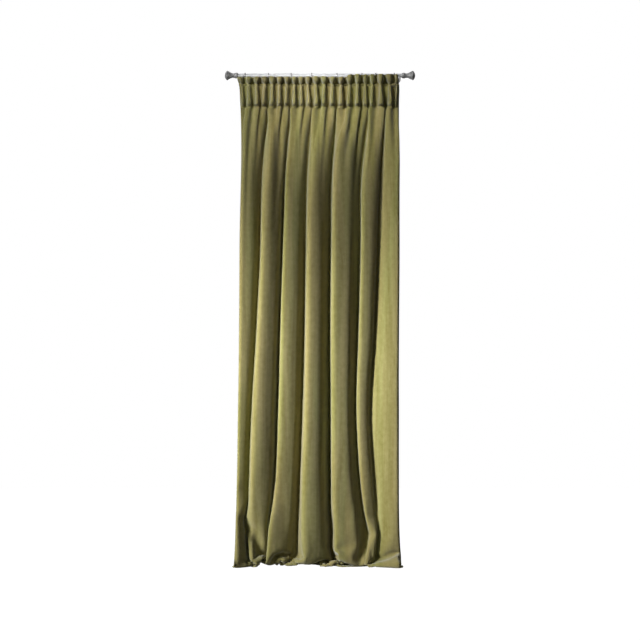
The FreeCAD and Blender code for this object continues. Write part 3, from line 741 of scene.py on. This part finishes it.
def stitched(name, rows, spacing, stitch, thread_size):
    """A piece of stitches laid along rows of points."""
    points, edges = [], []
    for row in rows:
        first = len(points)
        points += row.tolist()
        edges += [(first + k, first + k + 1) for k in range(len(row) - 1)]
    guide = bpy.data.meshes.new(name)
    guide.from_pydata(points, edges, [])
    piece = bpy.data.objects.new(name, guide)
    bpy.context.collection.objects.link(piece)
    laid = piece.modifiers.new("stitches", "NODES")
    laid.node_group = stitches
    for label, value in (("Spacing", spacing), ("Stitch", stitch), ("Thread", thread_size)):
        laid[stitch_inputs[label]] = value
    made = bpy.data.meshes.new_from_object(
        piece.evaluated_get(bpy.context.evaluated_depsgraph_get()))
    piece.modifiers.clear()
    piece.data = made
    made.name = name
    gathers_along(piece)


olive_thread, thread_tree, thread_surface = shader("olive_thread")
thread_place = node(thread_tree, "ShaderNodeTexCoord")
thread_tone = node(thread_tree, "ShaderNodeTexNoise", {
    "Vector": thread_place.outputs["Object"], "Scale": 700.0})
thread_colour = node(thread_tree, "ShaderNodeMix", {
    "Factor": thread_tone.outputs[0], "A": (0.125, 0.110, 0.026, 1),
    "B": (0.190, 0.168, 0.048, 1)}, data_type="RGBA")
thread_tree.links.new(
    thread_colour.outputs["Result"], thread_surface.inputs["Base Color"])
thread_surface.inputs["Roughness"].default_value = 0.9
thread_surface.inputs["Specular IOR Level"].default_value = 0.1
stitches, stitch_inputs = stitch_tree(olive_thread)


def cloth_rows(lengths, out):
    """Lines across the heading at these lengths down, moved out of the cloth's back."""
    near = np.concatenate([[length - 0.001, length, length + 0.001] for length in lengths])
    grid = finish_shape(hung_cloth(near), near)
    return (grid + surface_normals(grid) * out)[1::3]


# Spacing, stitch length and thread size of the seams and of the longer hem stitches.
seam_stitch, hem_stitch = (0.0044, 0.0030, 0.00045), (0.0062, 0.0038, 0.00055)
seams, hem_seam, tape_end = (0.0475, 0.1485), cloth_length - 0.074, 0.156
stitched("seam_stitches", cloth_rows(seams, -cloth_thickness / 2 - thread_gap), *seam_stitch)
tape_rows = cloth_rows(seams, tape_gap + tape_thickness / 2 + thread_gap)
tape_rows[..., 1] = np.minimum(tape_rows[..., 1], cord_plane + thread_gap)
stitched("tape_stitches", tape_rows, *seam_stitch)
whole = np.concatenate([heading_grid[::3, ::2][:-1], drape_grid])
whole_down = np.concatenate([heading_down[::3][:-1], drape_down])
hem_back = whole + surface_normals(whole) * (cloth_thickness / 2 + hem_turn + thread_gap)
hem_row = int(np.argmin(np.abs(whole_down - hem_seam)))
below_tape = int(np.argmin(np.abs(whole_down - tape_end)))
stitched("hem_stitches", [hem_back[hem_row, 4:-4], hem_back[below_tape:hem_row, 4],
                          hem_back[below_tape:hem_row, -5]], *hem_stitch)

# ---- Hooks and rings --------------------------------------------------------
# Each hook is bent from 2 mm plated wire and stands in a pocket of the tape.  It
# hangs in the welded eye of a 4 mm wire ring, which slides on the rod.

wear_group, wear_in, wear_out = new_group(
    "handling_wear",
    [("Place", "NodeSocketVector", None), ("Scale", "NodeSocketFloat", 60.0)],
    [("Rub", "NodeSocketFloat"), ("Height", "NodeSocketFloat")])
smears = node(wear_group, "ShaderNodeTexNoise", {
    "Vector": wear_in.outputs["Place"], "Scale": wear_in.outputs["Scale"],
    "Detail": 4.0, "Roughness": 0.6})
turned = node(wear_group, "ShaderNodeMapping", {
    "Vector": wear_in.outputs["Place"], "Scale": (1.0, 14.0, 14.0)})
marks = node(wear_group, "ShaderNodeTexNoise", {
    "Vector": turned.outputs[0], "Scale": wear_in.outputs["Scale"], "Detail": 3.0})
rub = node(wear_group, "ShaderNodeMapRange", {
    "Value": smears.outputs[0], "From Min": 0.35, "From Max": 0.65})
wear_group.links.new(rub.outputs[0], wear_out.inputs["Rub"])
wear_group.links.new(marks.outputs[0], wear_out.inputs["Height"])


def metal(name, dull, bright, metallic, smooth, rough, scale=60.0, relief=0.08):
    """Plated or painted metal: a little uneven in colour and gloss, with faint tool marks."""
    material, tree, surface = shader(name)
    place = node(tree, "ShaderNodeTexCoord")
    wear = node(tree, "ShaderNodeGroup", {
        "Place": place.outputs["Object"], "Scale": scale}, node_tree=wear_group)
    colour = node(tree, "ShaderNodeMix", {
        "Factor": wear.outputs["Rub"], "A": dull, "B": bright}, data_type="RGBA")
    gloss = node(tree, "ShaderNodeMapRange", {
        "Value": wear.outputs["Rub"], "To Min": rough, "To Max": smooth})
    bump = node(tree, "ShaderNodeBump", {
        "Height": wear.outputs["Height"], "Strength": relief, "Distance": 0.0002})
    tree.links.new(colour.outputs["Result"], surface.inputs["Base Color"])
    tree.links.new(gloss.outputs[0], surface.inputs["Roughness"])
    tree.links.new(bump.outputs[0], surface.inputs["Normal"])
    surface.inputs["Metallic"].default_value = metallic
    return material


def finish_nodes(material, *names):
    """Gives CAD parts their material."""
    for name in names:
        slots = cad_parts[name].data.materials
        slots.clear()
        slots.append(material)


ring_wire = metal("ring_wire", (0.30, 0.30, 0.30, 1), (0.42, 0.42, 0.42, 1), 0.9, 0.25, 0.4)
hook_wire = metal("hook_wire", (0.50, 0.50, 0.51, 1), (0.66, 0.66, 0.67, 1), 0.9, 0.3, 0.45)
finish_nodes(ring_wire, *[f"ring_{n}" for n in range(1, 9)])
finish_nodes(hook_wire, *[f"hook_{n}" for n in range(1, 9)])

# ---- Rod --------------------------------------------------------------------
# A drawn steel tube, 19 mm across with a 1 mm wall, plated bright.  It lies in
# the cups of the two wall brackets and ends inside the finials.

rod_steel = metal("bright_steel", (0.50, 0.51, 0.52, 1), (0.62, 0.63, 0.64, 1), 0.25, 0.34, 0.44)
finish_nodes(rod_steel, "rod_tube")

# ---- Finials ----------------------------------------------------------------
# Cast trumpets in satin nickel: a collar that slips over the rod's end, a hollow
# bell and a domed cap.  A dark grub screw through the collar holds each one.

satin_nickel = metal("satin_nickel", (0.26, 0.26, 0.26, 1), (0.34, 0.34, 0.34, 1), 0.20,
                     0.42, 0.52, 90.0)
dark_steel = metal("dark_steel", (0.10, 0.10, 0.10, 1), (0.16, 0.16, 0.16, 1), 0.8, 0.35, 0.5)
for side in ("left", "right"):
    finish_nodes(satin_nickel, f"{side}_finial_collar", f"{side}_finial_bell",
                 f"{side}_finial_cap")
    finish_nodes(dark_steel, f"{side}_finial_grub_screw")

# ---- Wall brackets ----------------------------------------------------------
# A round plate on two wall screws, and a turned arm with an open cup that the
# rod lies in, both in the finials' nickel.  A dark screw under the cup locks it.

for side in ("left", "right"):
    finish_nodes(satin_nickel, f"{side}_wall_plate", f"{side}_bracket_arm")
    finish_nodes(dark_steel, f"{side}_lock_screw")

# ---- Room: floor, light and view --------------------------------------------
# A white floor under the hem and an even white surround.  A soft key light stands
# at the left, a weak fill in front, a small lamp above the rod, and one behind.

floor_mesh = bpy.data.meshes.new("studio_floor")
floor_mesh.from_pydata([(x, y, floor_z - 0.001) for x, y in (
    (-5, -4), (5, -4), (5, 4), (-5, 4))], [], [(0, 1, 2, 3)])
studio_floor = bpy.data.objects.new("studio_floor", floor_mesh)
bpy.context.collection.objects.link(studio_floor)
floor_paint, floor_tree, floor_shader = shader("white_floor")
floor_shader.inputs["Base Color"].default_value = (0.40, 0.40, 0.40, 1)
floor_shader.inputs["Roughness"].default_value = 0.9
seen = node(floor_tree, "ShaderNodeLightPath")
share = node(floor_tree, "ShaderNodeMath", {0: seen.outputs["Is Camera Ray"], 1: 0.96},
             operation="MULTIPLY")
white = node(floor_tree, "ShaderNodeEmission", {"Color": (1, 1, 1, 1), "Strength": 1.10})
blend = node(floor_tree, "ShaderNodeMixShader", {
    0: share.outputs[0], 1: floor_shader.outputs[0], 2: white.outputs[0]})
floor_tree.links.new(
    blend.outputs[0], floor_tree.nodes["Material Output"].inputs["Surface"])
floor_mesh.materials.append(floor_paint)

surround = bpy.data.worlds.new("studio")
bpy.context.scene.world = surround
surround.use_nodes = True
backdrop = surround.node_tree.nodes["Background"]
sight = node(surround.node_tree, "ShaderNodeLightPath")
glow = node(surround.node_tree, "ShaderNodeMapRange", {
    "Value": sight.outputs["Is Camera Ray"], "To Min": 0.020, "To Max": 1.0})
surround.node_tree.links.new(glow.outputs[0], backdrop.inputs["Color"])


def soft_lamp(name, place, towards, size, watts, spread=math.pi):
    """A square area lamp aimed at a point."""
    lamp = bpy.data.lights.new(name, "AREA")
    lamp.size, lamp.energy, lamp.spread = size, watts, spread
    holder = bpy.data.objects.new(name, lamp)
    bpy.context.collection.objects.link(holder)
    holder.location = place
    holder.visible_camera = False
    aim = Vector(towards) - Vector(place)
    holder.rotation_euler = aim.to_track_quat("-Z", "Y").to_euler()


soft_lamp("key_light", (-3.6, -2.7, -0.5), (0, -0.1, -1.55), 1.1, 28, 0.60)
soft_lamp("fill_light", (0.7, -4.6, 0.3), (0, -0.1, -1.2), 1.6, 9)
soft_lamp("rod_light", (-0.9, -1.7, 0.8), (0, -0.1, -0.02), 0.6, 2.8, 0.5)
soft_lamp("back_light", (0, 3.6, -0.9), (0, 0, -1.2), 0.7, 80)
bpy.context.scene.view_settings.view_transform = "Standard"

cloth_plane = -0.14
view_distance, view_width, view_height = 9.0, 3.123, -1.195
eye = bpy.data.cameras.new("front_view")
eye.sensor_width = 36
eye.lens = eye.sensor_width * view_distance / view_width
eye.clip_end = 60
camera = bpy.data.objects.new("front_view", eye)
camera.location = (0, cloth_plane - view_distance, view_height)
camera.rotation_euler = (math.pi / 2, 0, 0)
bpy.context.collection.objects.link(camera)
bpy.context.scene.camera = camera
